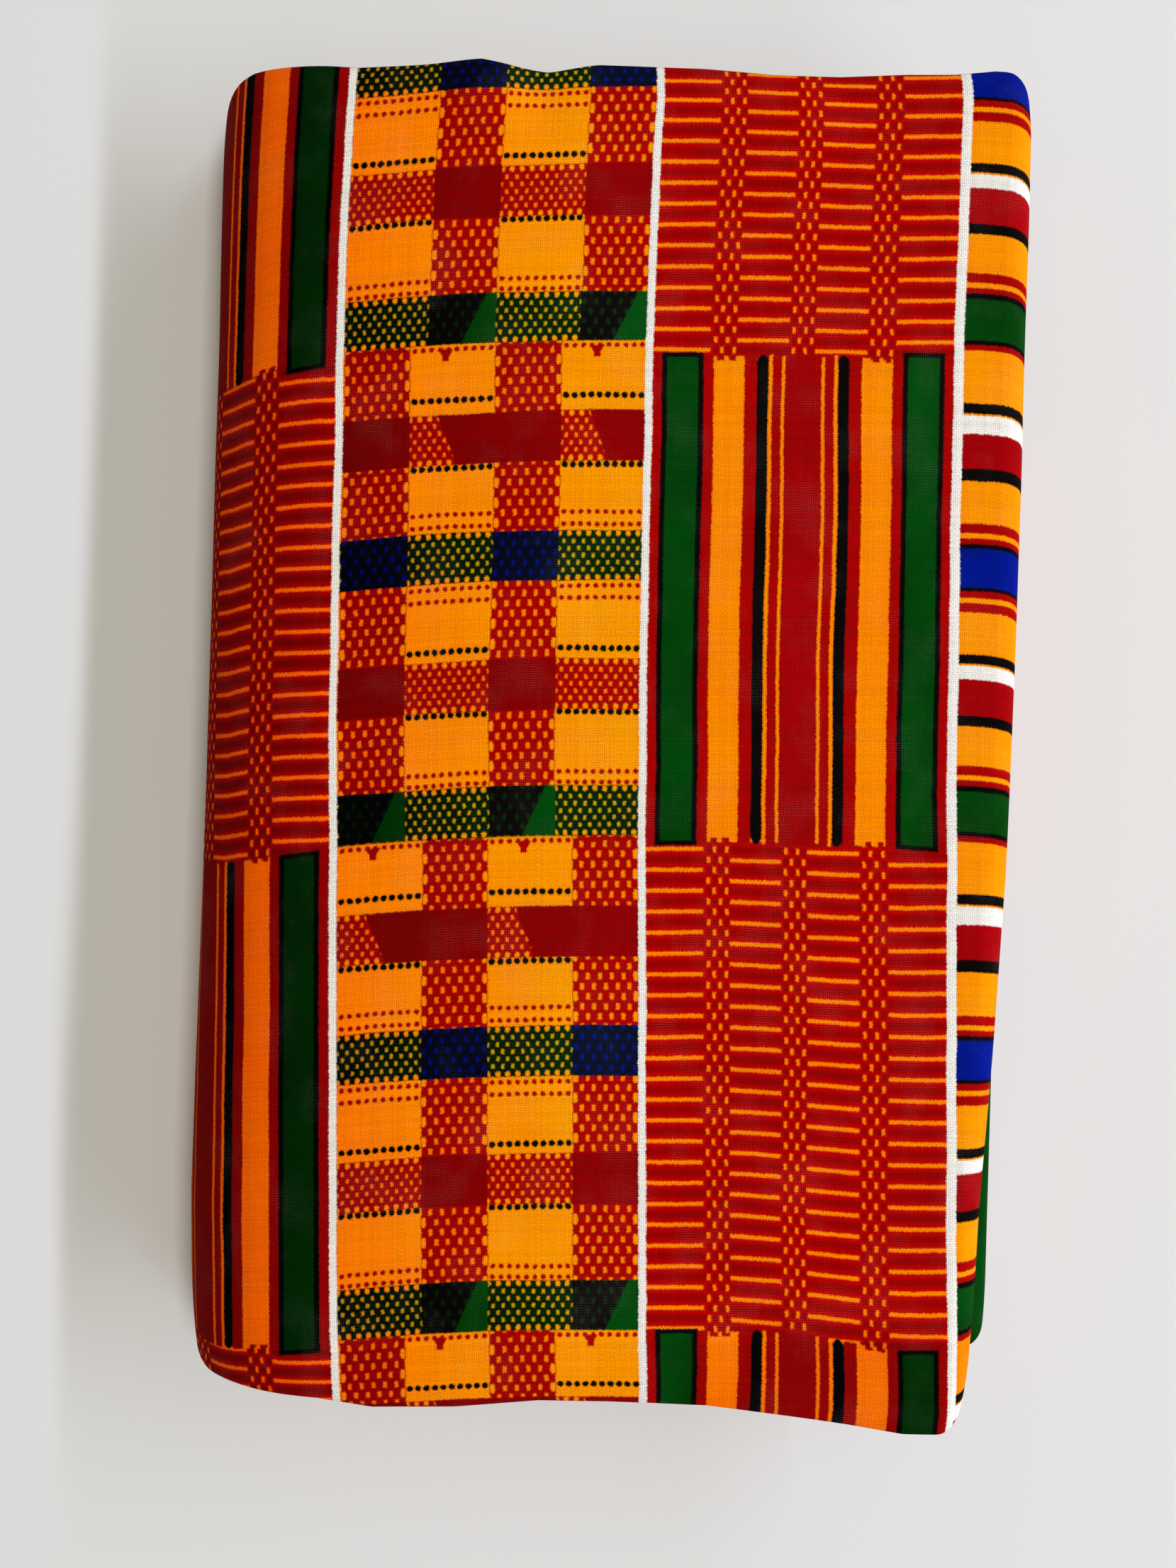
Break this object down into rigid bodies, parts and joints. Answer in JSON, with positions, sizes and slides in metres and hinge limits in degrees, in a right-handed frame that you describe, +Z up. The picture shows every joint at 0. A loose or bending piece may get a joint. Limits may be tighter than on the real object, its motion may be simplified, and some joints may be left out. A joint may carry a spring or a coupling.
{
  "type": "folded cloth",
  "caption": "Long length of kente-print cotton cloth, folded in four across its width and halved again and again along its length into a flat pack to lie on a shelf, table or market stall.",
  "frame": {"origin": "middle of the pack's bounding box, at the underside it rests on", "axes": "+X runs across the printed lines, from the round closing fold towards the open folds; +Y runs along the printed lines towards the pack's far edge; +Z is up"},
  "size_m": [0.1802, 0.2794, 0.0331],
  "materials": {
    "printed_cotton": "matt plain-weave cotton, printed on its outer side"
  },
  "bodies": {
    "root": {"kente_cloth": "printed_cotton"}
  },
  "joints": []
}
